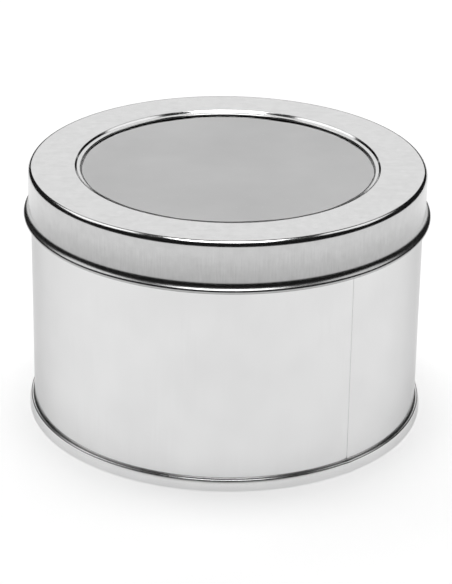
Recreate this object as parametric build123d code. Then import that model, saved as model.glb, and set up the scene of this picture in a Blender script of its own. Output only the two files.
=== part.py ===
"""Round slip-lid tin with a clear window in its lid, built as separate sheet-metal and plastic pieces.

Units are millimetres and Z is up. The origin is the middle of the footprint, on the surface that
the tin stands on. The side seam of the body faces front right.
"""
import os
from math import cos, radians, sin

from build123d import *

# ---- driving dimensions ------------------------------------------------------------------------

sheet = 0.23                 # thickness of the tinplate, the same in every metal piece
overall_height = 50.3        # floor to the lid's top face, lid on

# body
body_radius = 37.80          # outside of the body wall
rim_curl_radius = 0.70       # outside radius of the rolled rim at the body's mouth
rim_curl_turn = 300.0        # how far the rim is rolled over, degrees
side_seam_azimuth = -51.8    # place of the vertical seam round the body, degrees from +X
side_seam_width = 3.2        # width of the folded strip inside the wall
side_seam_extra_layers = 2   # layers of sheet that the folded strip adds inside the wall
side_seam_groove_width = 0.20
side_seam_groove_depth = 0.10
side_seam_end_gap = 0.60     # the folded strip stops this far short of the rim curl and the bottom

# bottom end and the double seam that joins it to the body
seam_height = 2.40           # height of the double seam above the floor
seam_layer_gap = 0.01        # room between neighbouring layers of the double seam
hook_end_gap = 0.12          # room between the tip of each hook and the bend that it sits in
seam_base_bend = 0.23        # centre-line radius of the two bends under the double seam
seam_lean = 16.0             # how far the double seam's outer wall leans in at its top, degrees
countersink = 2.90           # floor to the underside of the bottom panel's outer ring
countersink_bend = 0.50      # centre-line radius where the panel turns down into the seam
panel_step_radius = 30.0     # radius of the shallow step that stiffens the bottom panel
panel_step_rise = 0.40       # how far the middle of the panel stands above its outer ring
panel_step_bend = 0.60       # centre-line radius of the two bends of that step
panel_step_angle = 35.0      # slope of that step, degrees

# lid
lid_side_gap = 0.20          # room all round between the lid's skirt and the body
lid_seat_gap = 0.02          # room between the lid's panel and the rim curl that it sits on
lid_depth = 9.85             # top face to the bottom of the skirt's rolled edge
lid_corner_radius = 1.10     # outside radius between the top face and the skirt
skirt_flare_radius = 1.60    # centre-line radius where the skirt flares out above its edge
skirt_flare_angle = 60.0     # how far the skirt flares out, degrees
skirt_roll_radius = 0.465    # outside radius of the rolled edge below the flare
skirt_roll_turn = 240.0      # how far that edge is rolled under, degrees

# window
window_opening_radius = 28.15 # clear radius inside the turned-down lip
lip_radius = 0.30             # outside radius of the lip round the opening
lip_straight = 0.10           # straight length of the lip below its bend
ledge_width = 0.45            # sloping ledge between the lip and the step up to the face
ledge_slope = 10.0            # fall of that ledge towards the window, degrees
ledge_step_bend = 0.25        # centre-line radius of the two bends of the step
ledge_step_angle = 42.0       # slope of the step, degrees
ledge_step_straight = 0.40    # straight length of the step between its two bends
window_overlap = 2.20         # how far the clear disc reaches out past the opening
window_thickness = 0.30       # clear PVC sheet
film_thickness = 0.06         # protective film on the disc's outer face
film_margin = 0.15            # bare margin between the film's edge and the lip
retainer_shelf = 0.30         # how far the retaining ring shows inside the opening
retainer_bend = 0.30          # centre-line radius of the retaining ring's two bends
retainer_disc_gap = 0.05      # room round the disc inside the retaining ring
retainer_flange = 2.00        # width of the ring's flange against the lid's panel

# ---- sizes worked out from them -----------------------------------------------------------------

half_sheet = sheet / 2
layer = sheet + seam_layer_gap                  # spacing of the layers in the double seam
wall_centre = body_radius - half_sheet          # centre line of the body wall
seam_bend = layer                               # centre-line radius of both hooks' bends
body_fold_z = sheet + seam_layer_gap + seam_bend + half_sheet
end_fold_z = seam_height - seam_bend - half_sheet
rim_z = overall_height - sheet - lid_seat_gap   # top of the body's rim curl
lid_radius = body_radius + lid_side_gap + sheet
lip_bend = lip_radius - half_sheet              # centre-line radius of the lip's bend
ledge_rise = ledge_width * sin(radians(ledge_slope))
ledge_bends_rise = cos(radians(ledge_slope)) + 1 - 2 * cos(radians(ledge_step_angle))
ledge_bends_run = 2 * sin(radians(ledge_step_angle)) - sin(radians(ledge_slope))
ledge_step_rise = ledge_step_bend * ledge_bends_rise + ledge_step_straight * sin(radians(ledge_step_angle))
ledge_step_run = ledge_step_bend * ledge_bends_run + ledge_step_straight * cos(radians(ledge_step_angle))
lip_rise = lip_straight + lip_bend * cos(radians(ledge_slope))
window_depth = lip_rise + ledge_rise + ledge_step_rise + half_sheet
disc_radius = window_opening_radius + window_overlap
disc_top = overall_height - window_depth


# ---- helpers ------------------------------------------------------------------------------------

def walk(start, heading, *steps):
    """A path of straight runs and arcs, each tangent to the one before.

    A step that is one number is a run of that length. A step that is a pair is an arc: its radius,
    and the angle it turns by in degrees, positive to the left.
    """
    here = Vector(*start)
    way = Vector(cos(radians(heading)), sin(radians(heading)))
    path = Curve()
    for step in steps:
        if isinstance(step, tuple):
            piece = JernArc(here, way, step[0], step[1])
        else:
            piece = Line(here, here + way * step)
        here = piece @ 1
        way = piece % 1
        path += piece
    return path


def turned(section):
    """A section drawn as (radius, height), turned once round the Z axis."""
    return revolve(Plane.XZ * section, Axis.Z)


def turned_sheet(path):
    """A piece of sheet whose middle follows the path, turned once round the Z axis."""
    return turned(trace(path, line_width=sheet))


def upright_strip(radius, width, depth, low, high):
    """An upright bar across the wall at the side seam, its middle at the given radius."""
    bar = Box(depth, width, high - low, align=(Align.CENTER, Align.CENTER, Align.MIN))
    return Rot(0, 0, side_seam_azimuth) * Pos(radius, 0, low) * bar


# ---- body ---------------------------------------------------------------------------------------

def body_wall():
    """Rolled body: hooked edge below, plain wall, rim curled inwards above, folded side seam."""
    hook_tip_z = end_fold_z - hook_end_gap
    curl_bend = rim_curl_radius - half_sheet
    wall_top = rim_z - rim_curl_radius
    path = walk(
        (wall_centre + 2 * layer, hook_tip_z), -90,
        hook_tip_z - body_fold_z,
        (seam_bend, -180),
        wall_top - body_fold_z,
        (curl_bend, rim_curl_turn),
    )
    wall = turned_sheet(path)
    return wall + side_seam_fold() - side_seam_groove()


def side_seam_fold():
    """The folded layers of the side seam, a flat strip lying against the inside of the wall."""
    low = countersink + sheet + panel_step_rise + side_seam_end_gap
    high = rim_z - 2 * rim_curl_radius - side_seam_end_gap
    thickness = side_seam_extra_layers * sheet
    bore = body_radius - sheet
    ring = Cylinder(bore + half_sheet, high - low) - Cylinder(bore - thickness, high - low)
    ring = Pos(0, 0, (low + high) / 2) * ring
    return ring & upright_strip(bore, side_seam_width, 4 * thickness, low, high)


def side_seam_groove():
    """The fine line that the side seam leaves down the outside of the wall."""
    low = seam_height + side_seam_end_gap
    high = rim_z - 2 * rim_curl_radius
    depth = 2 * side_seam_groove_depth
    return upright_strip(body_radius, side_seam_groove_width, depth, low, high)


# ---- bottom -------------------------------------------------------------------------------------

def bottom_end():
    """Pressed bottom: stepped panel, wall down inside the body, and a hook round the body's hook."""
    chuck_wall = wall_centre - layer
    wall_rise = end_fold_z + seam_bend * sin(radians(seam_lean)) - half_sheet - seam_base_bend
    wall_bow = wall_rise / sin(radians(seam_lean))
    wall_top = wall_centre + 2 * layer + seam_bend * cos(radians(seam_lean))
    seam_wall = wall_top + wall_bow * (1 - cos(radians(seam_lean)))
    ring_z = countersink + half_sheet
    hook_tip_z = body_fold_z + hook_end_gap
    step_run = panel_step_bend * sin(radians(panel_step_angle))
    step_drop = panel_step_bend * (1 - cos(radians(panel_step_angle)))
    slope_length = (panel_step_rise - 2 * step_drop) / sin(radians(panel_step_angle))
    slope_run = slope_length * cos(radians(panel_step_angle))
    middle_run = panel_step_radius - step_run - slope_run / 2
    ring_run = chuck_wall - countersink_bend - (panel_step_radius + step_run + slope_run / 2)
    path = walk(
        (0, ring_z + panel_step_rise), 0,
        middle_run,
        (panel_step_bend, -panel_step_angle),
        slope_length,
        (panel_step_bend, panel_step_angle),
        ring_run,
        (countersink_bend, -90),
        ring_z - countersink_bend - half_sheet - seam_base_bend,
        (seam_base_bend, 90),
        seam_wall - chuck_wall - 2 * seam_base_bend,
        (seam_base_bend, 90),
        (wall_bow, seam_lean),
        (seam_bend, 180 - seam_lean),
        end_fold_z - hook_tip_z,
    )
    return turned_sheet(path)


def seam_sealing_ring():
    """Ring of sealing compound, in the body's fold under the tip of the bottom's hook."""
    middle = wall_centre + layer
    bore = seam_bend - half_sheet
    low_half_width = bore * sin(radians(45))
    section = Polyline(
        (middle + bore, body_fold_z),
        (middle + half_sheet, body_fold_z + hook_end_gap),
        (middle - half_sheet, body_fold_z + hook_end_gap),
        (middle - bore, body_fold_z),
        (middle - low_half_width, body_fold_z - low_half_width),
        (middle + low_half_width, body_fold_z - low_half_width),
        close=True,
    )
    return turned(make_face(section))


# ---- lid ----------------------------------------------------------------------------------------

def lid_shell():
    """Pressed lid: lip and sunk ledge round the window, flat face, skirt, flare and rolled edge."""
    lip_run = half_sheet + lip_bend * (1 - sin(radians(ledge_slope)))
    ledge_run = ledge_width * cos(radians(ledge_slope))
    face_edge = window_opening_radius + lip_run + ledge_run + ledge_step_run
    corner_bend = lid_corner_radius - half_sheet
    roll_bend = skirt_roll_radius - half_sheet
    flare_rise = (skirt_flare_radius + roll_bend) * sin(radians(skirt_flare_angle))
    path = walk(
        (window_opening_radius + half_sheet, disc_top), 90,
        lip_straight,
        (lip_bend, ledge_slope - 90),
        ledge_width,
        (ledge_step_bend, ledge_step_angle - ledge_slope),
        ledge_step_straight,
        (ledge_step_bend, -ledge_step_angle),
        lid_radius - lid_corner_radius - face_edge,
        (corner_bend, -90),
        lid_depth - lid_corner_radius - flare_rise - skirt_roll_radius,
        (skirt_flare_radius, skirt_flare_angle),
        (roll_bend, -skirt_roll_turn),
    )
    return turned_sheet(path)


def window_disc():
    """Clear disc, larger than the opening, pressed up against the lower edge of the lip."""
    disc = Cylinder(disc_radius, window_thickness, align=(Align.CENTER, Align.CENTER, Align.MAX))
    return Pos(0, 0, disc_top) * disc


def window_film():
    """Thin protective film on the outer face of the clear disc."""
    film_radius = window_opening_radius - film_margin
    film = Cylinder(film_radius, film_thickness, align=(Align.CENTER, Align.CENTER, Align.MIN))
    return Pos(0, 0, disc_top) * film


def window_retaining_ring():
    """Stepped ring that holds the disc up against the lip, its flange against the lid's panel."""
    shelf_z = disc_top - window_thickness - half_sheet
    flange_z = overall_height - sheet - half_sheet
    shelf_edge = window_opening_radius - retainer_shelf
    upright = disc_radius + retainer_disc_gap + retainer_bend
    path = walk(
        (shelf_edge, shelf_z), 0,
        upright - retainer_bend - shelf_edge,
        (retainer_bend, 90),
        flange_z - shelf_z - 2 * retainer_bend,
        (retainer_bend, -90),
        retainer_flange,
    )
    return turned_sheet(path)


# ---- parts --------------------------------------------------------------------------------------

os.makedirs("parts", exist_ok=True)
export_step(body_wall(), "parts/body_wall.step")
export_step(bottom_end(), "parts/bottom_end.step")
export_step(seam_sealing_ring(), "parts/seam_sealing_ring.step")
export_step(lid_shell(), "parts/lid_shell.step")
export_step(window_disc(), "parts/window_disc.step")
export_step(window_film(), "parts/window_film.step")
export_step(window_retaining_ring(), "parts/window_retaining_ring.step")
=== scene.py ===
from math import cos, pi, radians, sin

import bmesh
import bpy
import numpy as np
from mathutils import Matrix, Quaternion, Vector


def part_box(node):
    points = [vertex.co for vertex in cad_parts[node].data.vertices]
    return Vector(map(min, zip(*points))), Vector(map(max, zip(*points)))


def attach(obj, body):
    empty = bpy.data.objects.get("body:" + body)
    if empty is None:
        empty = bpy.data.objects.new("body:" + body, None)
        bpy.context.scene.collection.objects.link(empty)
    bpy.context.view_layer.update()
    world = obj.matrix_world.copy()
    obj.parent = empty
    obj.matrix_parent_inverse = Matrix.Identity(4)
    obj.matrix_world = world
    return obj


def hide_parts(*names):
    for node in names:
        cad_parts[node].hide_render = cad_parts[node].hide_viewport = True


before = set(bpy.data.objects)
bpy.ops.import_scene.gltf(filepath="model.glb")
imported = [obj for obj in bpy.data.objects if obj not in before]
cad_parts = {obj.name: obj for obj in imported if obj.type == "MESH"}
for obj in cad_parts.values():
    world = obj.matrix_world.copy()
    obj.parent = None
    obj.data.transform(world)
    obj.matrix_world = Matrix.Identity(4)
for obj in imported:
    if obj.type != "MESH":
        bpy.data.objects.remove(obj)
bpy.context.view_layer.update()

MM = 0.001

# ---- sizes of the sheet-metal tin, millimetres ---------------------------------------------------

SHEET = 0.23                 # tinplate
HALF = SHEET / 2
LAYER = 0.24                 # spacing of the layers in the double seam

lid_low, lid_high = (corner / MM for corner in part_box("lid_shell"))
body_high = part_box("body_wall")[1] / MM
disc_low, disc_high = (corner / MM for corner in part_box("window_disc"))
film_low, film_high = (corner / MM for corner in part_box("window_film"))
ring_low, ring_high = (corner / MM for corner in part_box("window_retaining_ring"))

LID_TOP = lid_high.z
RIM_TOP = body_high.z
WALL = body_high.x - 2 * LAYER - HALF        # centre line of the body wall
SEAM_AZIMUTH = radians(-51.8)                # the body's side seam, from +X


# ---- camera --------------------------------------------------------------------------------------

def add_camera(distance, elevation, aim_height, lens, roll):
    """A camera in front of the tin, slightly turned about its own line of sight."""
    camera = bpy.data.objects.new("camera", bpy.data.cameras.new("camera"))
    bpy.context.scene.collection.objects.link(camera)
    middle = Vector((0, 0, LID_TOP / 2))
    place = middle + distance * Vector((0, -cos(elevation), sin(elevation)))
    aim = Vector((0, 0, aim_height))
    turn = (place - aim).to_track_quat("Z", "Y") @ Quaternion((0, 0, 1), roll)
    camera.location = place * MM
    camera.rotation_mode = "QUATERNION"
    camera.rotation_quaternion = turn
    camera.data.lens = lens
    camera.data.clip_start = 0.01
    bpy.context.scene.camera = camera


add_camera(distance=462, elevation=radians(24.47), aim_height=23.1, lens=145.4, roll=radians(0.855))


# ---- shapes --------------------------------------------------------------------------------------

ARC_STEP = radians(7)        # an arc has a point at least this often
RUN_STEP = 1.5               # and a straight run this often, in millimetres
COLUMNS = 288                # evenly spaced columns once round a turned piece
SHARP_EDGE = radians(40)     # a cut edge of the sheet turns by more than this
POLE_MERGE = 1e-7            # metres


def walk(start, heading, *steps):
    """Points and headings along straight runs and arcs, each tangent to the one before.

    A step that is one number is a run of that length. A step that is a pair is an arc of that
    radius, turning by that many degrees, positive to the left: with the centre a radius away on
    that side, the point turns about it as the heading changes evenly.
    """
    places, headings = [np.array([start], float)], [np.array([radians(heading)])]
    for step in steps:
        here, way = places[-1][-1], headings[-1][-1]
        if isinstance(step, tuple):
            radius, turn = step[0], radians(step[1])
            ways = way + np.linspace(0, turn, 1 + int(np.ceil(abs(turn) / ARC_STEP)))[1:]
            side = np.sign(turn) * radius
            centre = here + side * np.array([-sin(way), cos(way)])
            along = centre + side * np.stack([np.sin(ways), -np.cos(ways)], axis=1)
        else:
            reach = np.linspace(0, step, 1 + int(np.ceil(step / RUN_STEP)))[1:]
            along = here + reach[:, None] * np.array([cos(way), sin(way)])
            ways = np.full(len(reach), way)
        places.append(along)
        headings.append(ways)
    return np.concatenate(places), np.concatenate(headings)


def sheet_outline(path, thickness=SHEET):
    """Outline of a sheet that follows a path: the path moved half a thickness to the right, then
    back along the path moved as far to the left."""
    places, headings = path
    left = np.stack([-np.sin(headings), np.cos(headings)], axis=1) * thickness / 2
    return np.concatenate([places - left, (places + left)[::-1]])


def azimuths(near_seam=()):
    """Angles once round from the side seam, evenly spaced, with more of them near the seam."""
    even = np.linspace(0, 2 * pi, COLUMNS + 1)
    extra = np.concatenate([np.asarray(near_seam), 2 * pi - np.asarray(near_seam)])
    return SEAM_AZIMUTH + np.unique(np.concatenate([even, extra]))


def turned_piece(name, outline, around, shape=None, joined=True):
    """An outline of radius and height turned once round Z.

    Point (i, j) is outline point i at azimuth j: x is radius times its cosine, y radius times its
    sine. shape moves the points first. An outline that starts and ends on the axis isn't joined
    up, and its ends merge into poles. The UV map is millimetres round the body and along the
    outline.
    """
    rows, columns = len(outline), len(around) - 1
    radius, height = outline[:, :1], outline[:, 1:]
    if shape:
        radius, height = shape(radius, height, around[None, :-1] - SEAM_AZIMUTH)
    theta = around[None, :-1]
    places = np.broadcast_arrays(radius * np.cos(theta), radius * np.sin(theta), height)
    points = np.stack(places, axis=2)
    low_row = np.arange(rows if joined else rows - 1)[:, None]
    high_row = (low_row + 1) % rows
    low_column = np.arange(columns)[None, :]
    high_column = (low_column + 1) % columns
    corners = (
        low_row * columns + low_column,
        low_row * columns + high_column,
        high_row * columns + high_column,
        high_row * columns + low_column,
    )
    faces = np.stack(np.broadcast_arrays(*corners), axis=2).reshape(-1, 4)
    points = points.reshape(-1, 3) * MM
    if signed_volume(points, faces) < 0:
        faces = faces[:, ::-1]
    run = np.linalg.norm(np.diff(outline, axis=0, append=outline[:1]), axis=1)
    along = np.concatenate([[0], np.cumsum(run)])
    round_body = (around - SEAM_AZIMUTH) * WALL
    mesh = bpy.data.meshes.new(name)
    mesh.from_pydata(points, [], faces)
    column = faces % columns
    wrapped = (column == 0) & (column.max(axis=1, keepdims=True) == columns - 1)
    row = faces // columns
    row_wrapped = (row == 0) & (row.max(axis=1, keepdims=True) == rows - 1)
    uv = np.stack([
        round_body[np.where(wrapped, columns, column)],
        along[np.where(row_wrapped, rows, row)],
    ], axis=2)
    mesh.uv_layers.new(name="sheet").uv.foreach_set("vector", uv.astype(np.float32).ravel())
    return finished(mesh, merge_poles=not joined)


def signed_volume(points, faces):
    """Volume inside closed four-sided faces: the sum of the corner determinants of their halves."""
    a, b, c, d = (points[faces[:, k]] for k in range(4))
    halves = np.einsum("ij,ij->i", a, np.cross(b, c)) + np.einsum("ij,ij->i", a, np.cross(c, d))
    return halves.sum() / 6


def finished(mesh, merge_poles):
    """An object with smooth faces and sharp edges where the sheet was cut."""
    if merge_poles:
        work = bmesh.new()
        work.from_mesh(mesh)
        bmesh.ops.remove_doubles(work, verts=work.verts, dist=POLE_MERGE)
        work.to_mesh(mesh)
        work.free()
    mesh.shade_smooth()
    mesh.set_sharp_from_angle(angle=SHARP_EDGE)
    piece = bpy.data.objects.new(mesh.name, mesh)
    bpy.context.scene.collection.objects.link(piece)
    return piece


def step_to(edge_low, edge_high, value):
    """0 below the first edge, 1 above the second, and a smooth cubic between them."""
    t = np.clip((value - edge_low) / (edge_high - edge_low), 0, 1)
    return t * t * (3 - 2 * t)


def from_seam(theta):
    """Distance round the body from the side seam, in millimetres, negative one way."""
    return ((theta + pi) % (2 * pi) - pi) * WALL


# ---- body ----------------------------------------------------------------------------------------

FOLD_Z = LAYER + LAYER + HALF                 # bend of the body's hook above the floor
SEAM_TOP = 2.40                               # top of the double seam
HOOK_Z = SEAM_TOP - LAYER - HALF              # bend of the bottom's hook
HOOK_GAP = 0.12
RIM_CURL, RIM_CURL_TURN = 0.70, 300
GROOVE_DEPTH = 0.20
GROOVE_WIDTH = 0.34
GROOVE_FADE = 0.6                             # length over which the groove starts
GROOVE_SIDE = 0.45                            # middle of the proud edge beside the groove
GROOVE_SIDE_WIDTH = 0.30
GROOVE_SIDE_RISE = 0.02
FOLD_THICK = 0.46
FOLD_WIDTH = 3.2
FOLD_EDGE = 0.3                               # the folded strip's rounded edge
FOLD_LOW, FOLD_HIGH = 4.1, RIM_TOP - 2.0      # the folded strip's ends
FOLD_END = 0.4                                # length of each rounded end


def body_shape(radius, height, theta):
    """The wall with its side seam: a narrow groove outside where the fold meets the sheet, the
    sheet a little proud beside it, and the folded layers standing inwards on the inside. Groove
    and proud edge are bell curves of the distance from the seam."""
    across = from_seam(theta)
    inside = radius < WALL
    fold_start = step_to(FOLD_LOW, FOLD_LOW + FOLD_END, height)
    fold_rise = fold_start * (1 - step_to(FOLD_HIGH - FOLD_END, FOLD_HIGH, height))
    fold = 1 - step_to(FOLD_WIDTH / 2 - FOLD_EDGE, FOLD_WIDTH / 2, np.abs(across))
    wall_only = (np.abs(radius - WALL) < SHEET) & (height > SEAM_TOP + 0.3)
    groove_start = step_to(SEAM_TOP, SEAM_TOP + GROOVE_FADE, height)
    groove_rise = groove_start * (1 - step_to(RIM_TOP - 2, RIM_TOP - 1, height))
    groove = np.exp(-(across / (0.5 * GROOVE_WIDTH)) ** 2)
    proud = np.exp(-((across - GROOVE_SIDE) / GROOVE_SIDE_WIDTH) ** 2)
    outer = groove_rise * (GROOVE_SIDE_RISE * proud - GROOVE_DEPTH * groove)
    inner = -FOLD_THICK * fold_rise * fold
    return radius + wall_only * np.where(inside, inner, outer), height


def body_wall():
    """Rolled body: hooked edge below, plain wall, rim curled inwards above, folded side seam."""
    hook_tip = HOOK_Z - HOOK_GAP
    wall_top = RIM_TOP - RIM_CURL
    path = walk(
        (WALL + 2 * LAYER, hook_tip), -90,
        hook_tip - FOLD_Z,
        (LAYER, -180),
        wall_top - FOLD_Z,
        (RIM_CURL - HALF, RIM_CURL_TURN),
    )
    near = np.concatenate([np.linspace(0, 0.9, 19), np.linspace(1.0, 1.8, 9)]) / WALL
    return turned_piece("body_wall_sheet", sheet_outline(path), azimuths(near), body_shape)


# ---- bottom --------------------------------------------------------------------------------------

SEAM_LEAN = 16.0
BULGE_HEIGHT, BULGE_WIDTH = 0.10, 1.1         # the double seam over the side seam's layers
BASE_BEND = 0.23
PANEL_Z = 2.90
PANEL_BEND = 0.50
STEP_RADIUS, STEP_RISE, STEP_BEND, STEP_ANGLE = 30.0, 0.40, 0.60, 35.0


def bottom_shape(radius, height, theta):
    """The double seam, slightly thicker where it passes over the layers of the side seam: a
    bell curve of the distance from the seam."""
    across = from_seam(theta)
    outer = step_to(WALL + 1.5 * LAYER, WALL + 2.5 * LAYER, radius)
    bulge = BULGE_HEIGHT * np.exp(-(across / BULGE_WIDTH) ** 2)
    return radius + outer * bulge, height


def bottom_end():
    """Pressed bottom: stepped panel, wall down inside the body, and a hook round the body's hook."""
    chuck_wall = WALL - LAYER
    ring_z = PANEL_Z + HALF
    hook_tip = FOLD_Z + HOOK_GAP
    lean = radians(SEAM_LEAN)
    slope = radians(STEP_ANGLE)
    wall_rise = HOOK_Z + LAYER * sin(lean) - HALF - BASE_BEND
    wall_bow = wall_rise / sin(lean)
    seam_wall = WALL + 2 * LAYER + LAYER * cos(lean) + wall_bow * (1 - cos(lean))
    slope_length = (STEP_RISE - 2 * STEP_BEND * (1 - cos(slope))) / sin(slope)
    half_step = STEP_BEND * sin(slope) + slope_length * cos(slope) / 2
    path = walk(
        (0, ring_z + STEP_RISE), 0,
        STEP_RADIUS - half_step,
        (STEP_BEND, -STEP_ANGLE),
        slope_length,
        (STEP_BEND, STEP_ANGLE),
        chuck_wall - PANEL_BEND - STEP_RADIUS - half_step,
        (PANEL_BEND, -90),
        ring_z - PANEL_BEND - HALF - BASE_BEND,
        (BASE_BEND, 90),
        seam_wall - chuck_wall - 2 * BASE_BEND,
        (BASE_BEND, 90),
        (wall_bow, SEAM_LEAN),
        (LAYER, 180 - SEAM_LEAN),
        HOOK_Z - hook_tip,
    )
    near = np.linspace(0, 3, 13) / WALL
    outline = sheet_outline(path)
    return turned_piece("bottom_end_sheet", outline, azimuths(near), bottom_shape, joined=False)


# ---- lid -----------------------------------------------------------------------------------------

LID_CORNER = 1.10
FLARE_BEND, FLARE_ANGLE = 1.60, 60.0
ROLL_RADIUS, ROLL_TURN = 0.465, 240.0
OPENING = 28.15              # clear radius inside the lip
LIP_RADIUS, LIP_STRAIGHT = 0.30, 0.10
LEDGE_WIDTH, LEDGE_SLOPE = 0.45, 10.0
STEP_DOWN_BEND, STEP_DOWN_ANGLE, STEP_DOWN_RUN = 0.25, 42.0, 0.40
RETAINER_SHELF, RETAINER_GAP, RETAINER_BEND = 0.30, 0.05, 0.30


def lid_shell():
    """Pressed lid: lip and sunk ledge round the window, flat face, skirt, flare and rolled edge."""
    roll_bend = ROLL_RADIUS - HALF
    flare = radians(FLARE_ANGLE)
    flare_rise = (FLARE_BEND + roll_bend) * sin(flare)
    reach = (FLARE_BEND + roll_bend) * (1 - cos(flare))
    lid_radius = lid_high.x - reach
    slope, steep = radians(LEDGE_SLOPE), radians(STEP_DOWN_ANGLE)
    lip_bend = LIP_RADIUS - HALF
    step_run = STEP_DOWN_BEND * (2 * sin(steep) - sin(slope)) + STEP_DOWN_RUN * cos(steep)
    ledge_edge = OPENING + HALF + lip_bend * (1 - sin(slope)) + LEDGE_WIDTH * cos(slope)
    face_edge = ledge_edge + step_run
    path = walk(
        (OPENING + HALF, disc_high.z), 90,
        LIP_STRAIGHT,
        (lip_bend, LEDGE_SLOPE - 90),
        LEDGE_WIDTH,
        (STEP_DOWN_BEND, STEP_DOWN_ANGLE - LEDGE_SLOPE),
        STEP_DOWN_RUN,
        (STEP_DOWN_BEND, -STEP_DOWN_ANGLE),
        lid_radius - LID_CORNER - face_edge,
        (LID_CORNER - HALF, -90),
        LID_TOP - lid_low.z - LID_CORNER - flare_rise - ROLL_RADIUS,
        (FLARE_BEND, FLARE_ANGLE),
        (roll_bend, -ROLL_TURN),
    )
    piece = turned_piece("lid_sheet", sheet_outline(path), azimuths())
    mark_rubs_and_shade(piece, lid_radius)
    return piece


def mark_rubs_and_shade(piece, lid_radius):
    """How hard the die worked the sheet, and how much painted shade it gets: not at all on the flat
    face, half at the corner, and more and more down the skirt to its lower edge, which is painted
    darkest."""
    mesh = piece.data
    places = np.empty(3 * len(mesh.vertices))
    mesh.vertices.foreach_get("co", places)
    x, y, z = places.reshape(-1, 3).T / MM
    shade_and_rub_top, shade_and_rub_bottom = 1.5, 8.0               # mm below the lid's top face
    corner_start, corner_end = 0.6, 0.15         # mm inside the skirt
    # painted shade: this ramp, with the step across the corner below, darkens the lid's colour down the
    # skirt; it also sets the rub marks and the extra roughness there
    rubbed_and_shaded = 0.5 + 0.5 * step_to(shade_and_rub_top, shade_and_rub_bottom, LID_TOP - z)
    drawn = rubbed_and_shaded * step_to(lid_radius - corner_start, lid_radius - corner_end, np.hypot(x, y))
    mesh.attributes.new("drawn", "FLOAT", "POINT").data.foreach_set("value", drawn)


def window_retaining_ring():
    """Stepped ring under the disc, its flange up against the lid's panel."""
    bend = RETAINER_BEND
    ring_shelf = OPENING - RETAINER_SHELF
    shelf_z = ring_low.z + HALF
    flange_z = ring_high.z - HALF
    upright = disc_high.x + RETAINER_GAP + bend
    path = walk(
        (ring_shelf, shelf_z), 0,
        upright - bend - ring_shelf,
        (bend, 90),
        flange_z - shelf_z - 2 * bend,
        (bend, -90),
        ring_high.x - upright - bend,
    )
    return turned_piece("retaining_ring_sheet", sheet_outline(path), azimuths())


def window_disc():
    """Clear disc with softened cut edges."""
    edge = 0.06
    radius, low, high = disc_high.x, disc_low.z, disc_high.z
    outline = np.array([
        (0, low), (10, low), (20, low), (28, low), (radius - edge, low), (radius, low + edge),
        (radius, high - edge), (radius - edge, high), (28, high), (20, high), (10, high), (0, high),
    ])
    return turned_piece("clear_window_disc", outline, azimuths(), joined=False)


FILM_MARGIN = 0.12           # bare edge of the disc all round the film
FILM_SHORT = 0.9             # how much shorter the film is at the front and back


def film_shape(radius, height, theta):
    """The film was trimmed by hand: its edge wanders in and out by a few tenths of a millimetre,
    and is nearly a millimetre short at the front and back. The edge is a sum of waves round the
    disc, with some sharper nicks."""
    edge = step_to(26, 28, radius)
    trim = FILM_SHORT * np.sin(theta + SEAM_AZIMUTH) ** 2
    slow = 0.10 * np.sin(3 * theta + 0.6) + 0.07 * np.sin(7 * theta + 2.1) + 0.04 * np.sin(17 * theta)
    nicks = 0.16 * np.maximum(0, np.sin(41 * theta + 1.3) * np.sin(5 * theta + 0.4) - 0.55)
    return radius + edge * (slow - nicks - trim - FILM_MARGIN), height


def window_film():
    """Thin milky film on the disc."""
    radius, low, high = film_high.x, film_low.z, film_high.z
    reach = np.concatenate([np.linspace(0, 26, 14), np.linspace(26.4, radius, 6)])
    under = np.stack([reach, np.full_like(reach, low)], axis=1)
    over = np.stack([reach, np.full_like(reach, high)], axis=1)[::-1]
    outline = np.concatenate([under, over])
    return turned_piece("milky_window_film", outline, azimuths(), film_shape, joined=False)


# ---- materials -----------------------------------------------------------------------------------

def linear(hex_colour):
    """An sRGB hex colour as linear red, green, blue and alpha."""
    values = [int(hex_colour[k:k + 2], 16) / 255 for k in (1, 3, 5)]
    return [v / 12.92 if v <= 0.04045 else ((v + 0.055) / 1.055) ** 2.4 for v in values] + [1.0]


def add_node(tree, kind, inputs=None, **settings):
    """A node with its settings, and its inputs set to values or linked to other nodes' outputs."""
    node = tree.nodes.new(kind)
    for name, value in settings.items():
        setattr(node, name, value)
    for name, value in (inputs or {}).items():
        if isinstance(value, bpy.types.NodeSocket):
            tree.links.new(value, node.inputs[name])
        else:
            node.inputs[name].default_value = value
    return node


def new_material(name):
    """An empty node material and its output node."""
    material = bpy.data.materials.new(name)
    material.use_nodes = True
    material.node_tree.nodes.clear()
    output = add_node(material.node_tree, "ShaderNodeOutputMaterial")
    return material, material.node_tree, output


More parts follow.
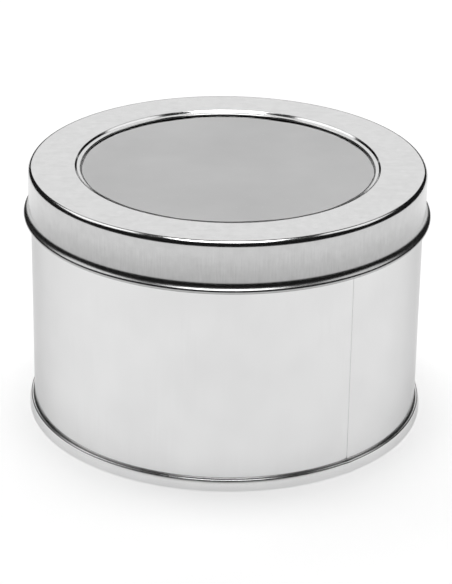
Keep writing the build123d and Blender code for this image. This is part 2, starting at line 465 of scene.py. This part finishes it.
def rolled_tinplate(name, light, dark, roughness, grazing, drawn=False):
    """Tinplate: cold-rolled steel with a matt electrolytic tin coat.

    The rolls leave fine parallel lines, so the metal shows long faint streaks and a soft, slightly
    uneven sheen. Where a press has drawn the sheet it is rougher, with short upright rub marks, and its
    colour is darkened as painted shade, more and more down the lid's skirt.
    grazing is the tone of the metal seen at a flat angle, where the tin coat looks darker.
    """
    material, tree, output = new_material(name)
    uv = add_node(tree, "ShaderNodeUVMap", uv_map="sheet").outputs["UV"]
    place = add_node(tree, "ShaderNodeTexCoord").outputs["Object"]
    streak_width, streak_length = 0.5, 14.0      # mm; real lines are finer than the view can show
    rub_width, rub_length = 0.22, 5.0            # mm
    cloud_size = 1.6 if drawn else 9.0           # mm, unevenness of the tin coat
    if drawn:
        source, stretch = place, (1000 / streak_length, 1000 / streak_width, 1000 / streak_width)
    else:
        source, stretch = uv, (1 / streak_width, 1 / streak_length, 1)
    lines = add_node(tree, "ShaderNodeMapping", {"Vector": source, "Scale": stretch}).outputs["Vector"]
    streaks = add_node(tree, "ShaderNodeTexNoise",
                       {"Vector": lines, "Scale": 1.0, "Detail": 3.0, "Roughness": 0.6}).outputs["Fac"]
    clouds = add_node(tree, "ShaderNodeTexNoise",
                      {"Vector": place, "Scale": 1000 / cloud_size, "Detail": 2.0}).outputs["Fac"]
    mixed = add_node(tree, "ShaderNodeMix", {"Factor": 0.7, "A": streaks, "B": clouds}).outputs["Result"]
    tone = add_node(tree, "ShaderNodeMapRange",
                    {"Value": mixed, "From Min": 0.3, "From Max": 0.7}).outputs["Result"]
    colour = add_node(tree, "ShaderNodeMix", {6: linear(dark), 7: linear(light), "Factor": tone},
                      data_type="RGBA").outputs[2]
    rough = add_node(tree, "ShaderNodeMapRange",
                     {"Value": clouds, "From Min": 0.3, "From Max": 0.7,
                      "To Min": roughness - 0.01, "To Max": roughness + 0.01}).outputs["Result"]
    height = streaks
    if drawn:
        rub_and_shade_mask = add_node(tree, "ShaderNodeAttribute", attribute_name="drawn").outputs["Fac"]
        upright = add_node(tree, "ShaderNodeMapping",
                           {"Vector": uv, "Scale": (1 / rub_width, 1 / rub_length, 1)}).outputs["Vector"]
        rubs = add_node(tree, "ShaderNodeTexNoise",
                        {"Vector": upright, "Scale": 1.0, "Detail": 3.0}).outputs["Fac"]
        # painted shade: where the sheet is marked drawn, the colour is scaled down to 0.57 to 0.65; the
        # spread within that range is the rub marks
        dull = add_node(tree, "ShaderNodeMapRange",
                        {"Value": rubs, "From Min": 0.3, "From Max": 0.7,
                         "To Min": 0.57, "To Max": 0.65}).outputs["Result"]
        rubbed_and_shaded = add_node(tree, "ShaderNodeMix",
                          {"Factor": rub_and_shade_mask, 6: colour,
                           7: add_node(tree, "ShaderNodeVectorMath",
                                       {0: colour, "Scale": dull}, operation="SCALE").outputs[0]},
                          data_type="RGBA")
        colour = rubbed_and_shaded.outputs[2]
        rough = add_node(tree, "ShaderNodeMath",
                         {0: rub_and_shade_mask, 1: 0.13, 2: rough}, operation="MULTIPLY_ADD").outputs[0]
        height = add_node(tree, "ShaderNodeMix",
                          {"Factor": rub_and_shade_mask, "A": streaks, "B": rubs}).outputs["Result"]
    bump = add_node(tree, "ShaderNodeBump",
                    {"Height": height, "Strength": 0.05, "Distance": 0.00001}).outputs["Normal"]
    shader = add_node(tree, "ShaderNodeBsdfPrincipled",
                      {"Base Color": colour, "Metallic": 1.0, "Roughness": rough, "Normal": bump,
                       "Specular Tint": linear(grazing)})
    tree.links.new(shader.outputs["BSDF"], output.inputs["Surface"])
    return material


def clear_pvc():
    """Clear calendered PVC sheet: glossy, colourless, with the faintest waviness."""
    material, tree, output = new_material("clear_pvc")
    place = add_node(tree, "ShaderNodeTexCoord").outputs["Object"]
    waves = add_node(tree, "ShaderNodeTexNoise",
                     {"Vector": place, "Scale": 1000 / 14.0, "Detail": 1.0}).outputs["Fac"]
    bump = add_node(tree, "ShaderNodeBump",
                    {"Height": waves, "Strength": 0.15, "Distance": 0.0001}).outputs["Normal"]
    shader = add_node(tree, "ShaderNodeBsdfPrincipled",
                      {"Base Color": linear("#F4F6F6"), "Roughness": 0.05, "IOR": 1.54,
                       "Transmission Weight": 1.0, "Normal": bump})
    tree.links.new(shader.outputs["BSDF"], output.inputs["Surface"])
    return material


def protective_film():
    """Thin polyethylene protective film: milky, matt and slightly cloudy, so it hides what is
    below, with a scatter of fine dust and tiny air bubbles."""
    material, tree, output = new_material("protective_film")
    place = add_node(tree, "ShaderNodeTexCoord").outputs["Object"]
    clouds = add_node(tree, "ShaderNodeTexNoise",
                      {"Vector": place, "Scale": 1000 / 22.0, "Detail": 3.0}).outputs["Fac"]
    base = add_node(tree, "ShaderNodeMapRange",
                    {"Value": clouds, "From Min": 0.3, "From Max": 0.7}).outputs["Result"]
    specks = add_node(tree, "ShaderNodeTexVoronoi",
                      {"Vector": place, "Scale": 1000 / 1.6}, feature="F1").outputs["Distance"]
    speck = add_node(tree, "ShaderNodeMapRange",
                     {"Value": specks, "From Min": 0.05, "From Max": 0.12,
                      "To Min": 1.0, "To Max": 0.0}).outputs["Result"]
    milky = add_node(tree, "ShaderNodeMix",
                     {6: linear("#DFDFDF"), 7: linear("#EBEBEB"), "Factor": base},
                     data_type="RGBA").outputs[2]
    share = add_node(tree, "ShaderNodeMath", {0: speck, 1: 0.35}, operation="MULTIPLY").outputs[0]
    colour = add_node(tree, "ShaderNodeMix",
                      {6: milky, 7: linear("#FAFAFA"), "Factor": share}, data_type="RGBA").outputs[2]
    bump = add_node(tree, "ShaderNodeBump",
                    {"Height": clouds, "Strength": 0.2, "Distance": 0.0002}).outputs["Normal"]
    shader = add_node(tree, "ShaderNodeBsdfPrincipled",
                      {"Base Color": colour, "Roughness": 0.55, "IOR": 1.5, "Alpha": 0.96,
                       "Specular IOR Level": 0.3, "Normal": bump})
    tree.links.new(shader.outputs["BSDF"], output.inputs["Surface"])
    return material


def sealing_compound():
    """Dried water-based sealing compound: a dull, buff, rubbery bead."""
    material, tree, output = new_material("sealing_compound")
    place = add_node(tree, "ShaderNodeTexCoord").outputs["Object"]
    grain = add_node(tree, "ShaderNodeTexNoise",
                     {"Vector": place, "Scale": 1000 / 0.8, "Detail": 2.0}).outputs["Fac"]
    colour = add_node(tree, "ShaderNodeMix",
                      {6: linear("#C9C2B2"), 7: linear("#DAD5C8"), "Factor": grain},
                      data_type="RGBA").outputs[2]
    shader = add_node(tree, "ShaderNodeBsdfPrincipled",
                      {"Base Color": colour, "Roughness": 0.7})
    tree.links.new(shader.outputs["BSDF"], output.inputs["Surface"])
    return material


def light_table():
    """Opal acrylic light table: plain white, lit softly from below as well as from above."""
    material, tree, output = new_material("light_table")
    shader = add_node(tree, "ShaderNodeBsdfPrincipled",
                      {"Base Color": linear("#F0F0F0"), "Roughness": 0.9, "Specular IOR Level": 0.1,
                       "Emission Color": linear("#FFFFFF"), "Emission Strength": 0.54})
    tree.links.new(shader.outputs["BSDF"], output.inputs["Surface"])
    return material


# ---- putting the tin together --------------------------------------------------------------------

# light and dark tone, roughness, and tone at a flat angle
body_tinplate = rolled_tinplate("body_tinplate", "#E0E0E0", "#DADADA", 0.20, "#DADADA")
bottom_tinplate = rolled_tinplate("bottom_tinplate", "#E2E2E2", "#DADADA", 0.20, "#E2E2E2")
lid_tinplate = rolled_tinplate("lid_tinplate", "#E0E0E0", "#D6D6D6", 0.12, "#FFFFFF", drawn=True)

PIECES = (
    (body_wall, "tin", "body_wall", body_tinplate),
    (bottom_end, "tin", "bottom_end", bottom_tinplate),
    (lid_shell, "lid", "lid_shell", lid_tinplate),
    (window_retaining_ring, "lid", "window_retaining_ring", lid_tinplate),
    (window_disc, "lid", "window_disc", clear_pvc()),
    (window_film, "lid", "window_film", protective_film()),
)

for make, body, node_name, material in PIECES:
    piece = make()
    piece.data.materials.append(material)
    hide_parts(node_name)
    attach(piece, body)

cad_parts["seam_sealing_ring"].material_slots[0].material = sealing_compound()


# ---- floor and light -----------------------------------------------------------------------------

def add_floor(radius):
    """A round white floor at the tin's foot: corners at a radius, evenly round a circle."""
    corners = 96
    mesh = bpy.data.meshes.new("floor")
    angle = np.linspace(0, 2 * pi, corners + 1)[:-1]
    rim = np.stack([radius * np.cos(angle), radius * np.sin(angle), np.zeros(corners)], axis=1)
    mesh.from_pydata(rim, [], [list(range(corners))])
    floor = bpy.data.objects.new("floor", mesh)
    bpy.context.scene.collection.objects.link(floor)
    floor.data.materials.append(light_table())


def add_soft_box(name, azimuth, elevation, distance, width, height, radiance):
    """A plain rectangular soft box that faces the tin. Azimuth 0 is in front, 90 to the right."""
    data = bpy.data.lights.new(name, "AREA")
    data.shape = "RECTANGLE"
    data.size = width
    data.size_y = height
    data.energy = pi * radiance * width * height
    lamp = bpy.data.objects.new(name, data)
    bpy.context.scene.collection.objects.link(lamp)
    a, e = radians(azimuth), radians(elevation)
    towards = Vector((sin(a) * cos(e), -cos(a) * cos(e), sin(e)))
    lamp.location = towards * distance
    lamp.rotation_mode = "QUATERNION"
    lamp.rotation_quaternion = towards.to_track_quat("Z", "Y")
    lamp.visible_camera = False


def set_world(seen, reflected):
    """White where the camera looks past the floor, dim where the metal reflects the room."""
    world = bpy.data.worlds.new("studio")
    bpy.context.scene.world = world
    world.use_nodes = True
    tree = world.node_tree
    tree.nodes.clear()
    camera_ray = add_node(tree, "ShaderNodeLightPath").outputs["Is Camera Ray"]
    room = add_node(tree, "ShaderNodeBackground", {"Color": linear(reflected)}).outputs[0]
    backdrop = add_node(tree, "ShaderNodeBackground", {"Color": linear(seen)}).outputs[0]
    mixed = add_node(tree, "ShaderNodeMixShader", {0: camera_ray, 1: room, 2: backdrop}).outputs[0]
    add_node(tree, "ShaderNodeOutputWorld", {"Surface": mixed})


add_floor(radius=0.8)
# azimuth, elevation, distance, width, height, radiance
add_soft_box("overhead_box", 0, 90, 1.0, 0.5, 0.5, 5.0)
add_soft_box("back_box", 180, 33, 1.1, 1.0, 0.72, 0.95)
add_soft_box("left_box", -115, 52, 1.0, 0.5, 0.5, 1.5)
add_soft_box("right_box", 112, 52, 1.0, 0.45, 0.45, 1.2)
set_world("#FFFFFF", "#181818")
bpy.context.scene.view_settings.view_transform = "Standard"
